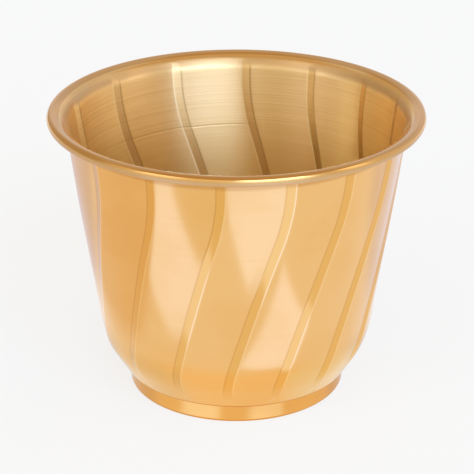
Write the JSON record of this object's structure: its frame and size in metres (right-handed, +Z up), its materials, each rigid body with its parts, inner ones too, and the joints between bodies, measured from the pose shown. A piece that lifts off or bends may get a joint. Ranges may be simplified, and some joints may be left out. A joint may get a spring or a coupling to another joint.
{
  "type": "planter pot",
  "caption": "Round tapering sheet-metal planter pot with swirling one-sided flutes, a flared wired rim and a plain ring foot; holds a potted plant.",
  "frame": {"origin": "Middle of the circle that the foot ring stands on, on the floor.", "axes": "+Z up along the pot's axis; +X to the right and -Y towards the viewer. The pot is round apart from its flutes, so X and Y are only a choice."},
  "size_m": [0.16, 0.16, 0.125],
  "materials": {
    "body_brass": "satin, fine brush lines round the wall, warm gold lacquer outside, duller antique gold inside",
    "foot_brass": "satin gloss, warm gold lacquer",
    "plate_brass": "brushed, antique gold",
    "braze": "smooth, as flowed",
    "wire_steel": "plain drawn wire"
  },
  "bodies": {
    "root": {"body_shell": "body_brass", "rim_wire": "wire_steel", "base_plate": "plate_brass", "base_braze": "braze", "foot_ring": "foot_brass", "foot_braze": "braze"}
  },
  "joints": []
}
